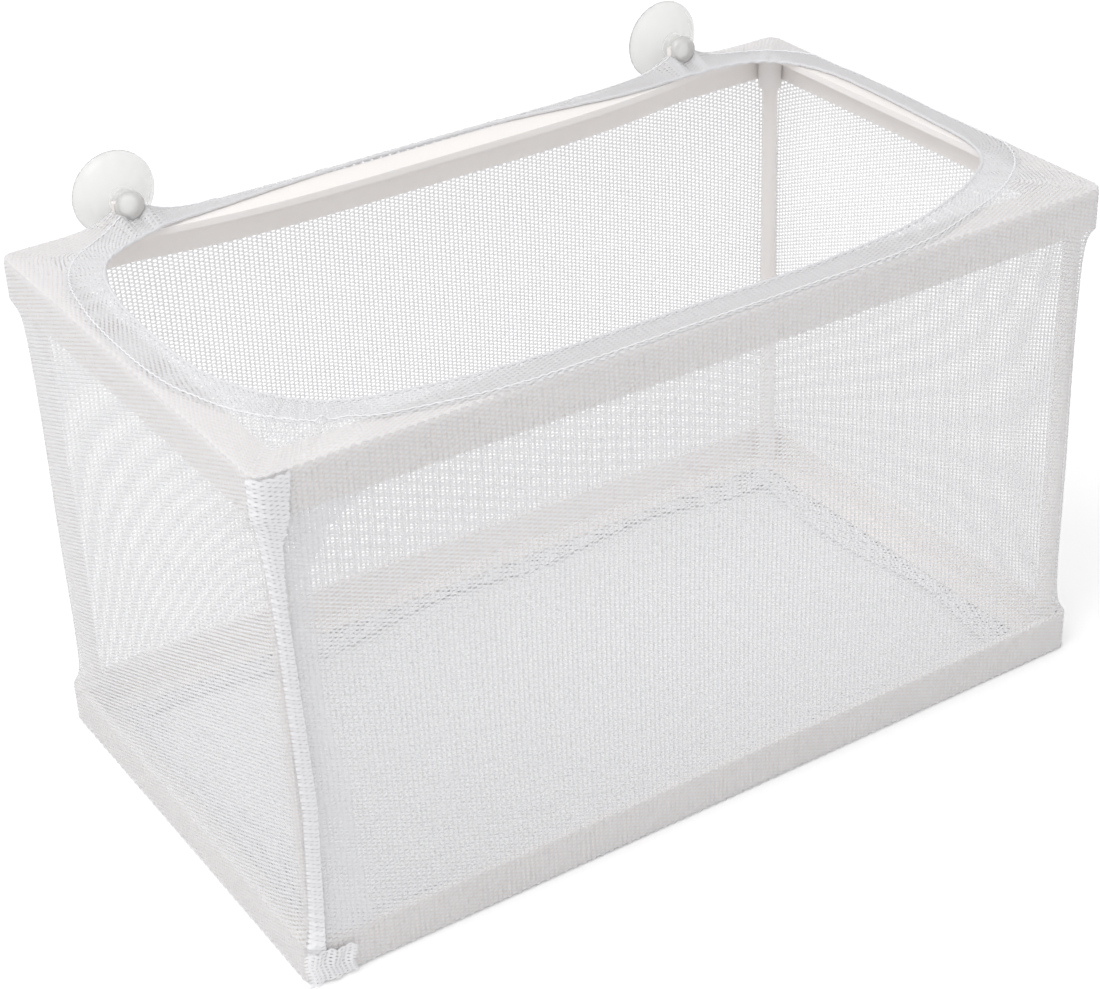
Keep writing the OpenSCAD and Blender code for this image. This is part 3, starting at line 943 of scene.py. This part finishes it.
# %% Turned cups
# radius and y, from the head's tip inside the box to the dome's rim and back
# along the dome's hollow side
PROFILE = np.array(
    [
        (0, 69.1), (1.6, 69.15), (3.0, 69.5), (4.0, 70.2), (4.3, 71.1), (4.2, 72.0), (3.6, 72.25),
        (2.5, 72.3), (2.2, 72.6), (2.2, 74.5), (2.5, 74.72), (3.1, 74.75), (3.25, 75.2), (3.4, 75.9),
        (4.4, 76.4), (6.5, 77.3), (8.6, 78.5), (10.5, 80.1), (11.8, 81.5), (12.45, 82.1), (12.5, 82.35),
        (12.3, 82.5), (11.7, 82.5), (11.3, 82.3), (9.6, 80.9), (7.2, 79.7), (4.0, 79.05), (0, 78.9),
    ]
)
CUP_STEPS = 96
# the cup is solid up to this y
THICK_TO = 76.2
# points this close, in metres, are made one
MERGE = 1e-6


def lathe(profile, steps, centre_x):
    """Turns a profile of (radius, y) round the cup's axis: a point is the
    centre plus radius times cos and sin of the turn. Also gives the number
    of points along the profile."""
    t = np.linspace(0, len(profile) - 1, 4 * len(profile))
    r, y = (np.interp(t, np.arange(len(profile)), column)[None] for column in profile.T)
    turn = np.linspace(0, 2 * np.pi, steps, endpoint=False)[:, None]
    turned = np.broadcast_arrays(centre_x + r * np.cos(turn), y, AXIS_Z - r * np.sin(turn))
    return np.stack(turned, axis=-1).reshape(-1, 3), len(t)


cups = {}
for side, centre in (("left", -EARS), ("right", EARS)):
    cup_points, along = lathe(PROFILE, CUP_STEPS, centre)
    cup_faces = grid_faces(CUP_STEPS, along, close_u=True)
    cup = make_piece("clear_cup_" + side, cup_points, *cup_faces, clear_vinyl)
    work = bmesh.new()
    work.from_mesh(cup.data)
    bmesh.ops.remove_doubles(work, verts=work.verts, dist=MERGE)
    bmesh.ops.recalc_face_normals(work, faces=work.faces)
    work.to_mesh(cup.data)
    work.free()
    cup.data.materials.append(milky_vinyl)
    middles = np.empty(len(cup.data.polygons) * 3, dtype=np.float32)
    cup.data.polygons.foreach_get("center", middles)
    thick = middles.reshape(-1, 3)[:, 1] < THICK_TO * MM
    cup.data.polygons.foreach_set("material_index", thick.astype(np.int32))
    cups[side] = cup
    print("the", side, "cup has", len(cup.data.polygons), "faces,", int(thick.sum()), "of them milky")

# %% [markdown]
# ## The bowed top ring
# The elastic pulls the long back rail inwards. The CAD ring is straight, and
# a lattice or a curve modifier would bend its ears too. So a copy of it is
# cut across every few millimetres, and the points of its back rail are moved
# by the same formula that the net follows.

# %% Bowed ring
BOW_CUTS = 33

top_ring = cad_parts["top_frame"].copy()
top_ring.data = top_ring.data.copy()
top_ring.name = "bowed_top_ring"
bpy.context.scene.collection.objects.link(top_ring)
work = bmesh.new()
work.from_mesh(top_ring.data)
bmesh.ops.remove_doubles(work, verts=work.verts, dist=MERGE)
for x in np.linspace(-BOW_HALF, BOW_HALF, BOW_CUTS):
    everything = list(work.verts) + list(work.edges) + list(work.faces)
    bmesh.ops.bisect_plane(work, geom=everything, plane_co=(x * MM, 0, 0), plane_no=(1, 0, 0))
work.to_mesh(top_ring.data)
work.free()
spots = np.empty(len(top_ring.data.vertices) * 3, dtype=np.float32)
top_ring.data.vertices.foreach_get("co", spots)
spots = spots.reshape(-1, 3) / MM
back = spots[:, 1] > BACK_FROM
spots[back, 1] -= bow(spots[back, 0])
top_ring.data.vertices.foreach_set("co", (spots * MM).astype(np.float32).ravel())
top_ring.data.update()
print("top ring bows by", BOW, "mm")

# %% Plastic on the frame
for name in ("bottom_frame", "post_front_left", "post_front_right", "post_back_left", "post_back_right"):
    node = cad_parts[name]
    node.data.materials.clear()
    node.data.materials.append(polypropylene)
top_ring.data.materials.clear()
top_ring.data.materials.append(polypropylene)
print("plastic on the rings and posts")

# %% [markdown]
# ## Table top
# A pale table takes the object's shadow and is white to the camera. A stronger
# lamp would whiten it too, but it would also wash out the net. So the table
# glows a little, and only to the rays that see the backdrop.

# %% Table
# half its width in metres
TABLE_HALF = 4.0
TABLE_GLOW = 0.16

table_mesh = bpy.data.meshes.new("table")
h = TABLE_HALF
table_mesh.from_pydata([(-h, -h, 0), (h, -h, 0), (h, h, 0), (-h, h, 0)], [], [(0, 1, 2, 3)])
table = bpy.data.objects.new("table", table_mesh)
bpy.context.scene.collection.objects.link(table)
white_table, tree, shader, out = principled("white_table", "#FBFBFB", Roughness=0.9, Specular_IOR_Level=0.0)
glow = add(tree, "ShaderNodeMath", [(0, backdrop_rays(tree))], operation="MULTIPLY")
glow.inputs[1].default_value = TABLE_GLOW
shine = add(tree, "ShaderNodeEmission", [("Strength", glow.outputs[0])], Color=linear("#FFFFFF"))
both = add(tree, "ShaderNodeAddShader", [(0, shader.outputs[0]), (1, shine.outputs[0])])
tree.links.new(out.inputs["Surface"], both.outputs[0])
table_mesh.materials.append(white_table)
print("table is", 2 * TABLE_HALF, "m across")

# %% [markdown]
# ## What each piece is
# Each piece rides on its body and stands for its CAD node, which is hidden.
# The hem's second layer and the strip on the corner lie flat on other net
# and stand for no node.

# %% Walls, collar and hem
def dress(piece, body, slot, *nodes):
    """Says which body a piece rides on and which CAD nodes it stands for,
    which are hidden. slot, the slot of its finish, is not used."""
    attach(piece, body)
    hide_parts(*nodes)


for name, piece in walls.items():
    dress(piece, "box", "net", name)
dress(collar, "box", "net", "net_collar")
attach(hem_layer, "box")
dress(elastic, "box", "elastic", "elastic_cord")
dress(thread, "box", "elastic", "hem_thread")

# %% Floor, seams and tail
dress(floor_net, "box", "net", "net_floor")
dress(floor_seam, "box", "net", "floor_seam")
dress(side_seam, "box", "net", "side_seam")
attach(seam_strip, "box")
dress(seam_tail, "box", "net", "seam_tail")

# %% Ring and cups
dress(top_ring, "box", "frame_plastic", "top_frame")
dress(cups["left"], "left_cup", "clear_pvc", "suction_cup_left")
dress(cups["right"], "right_cup", "clear_pvc", "suction_cup_right")
print("the top ring rides on the box, and each cup on its own body")
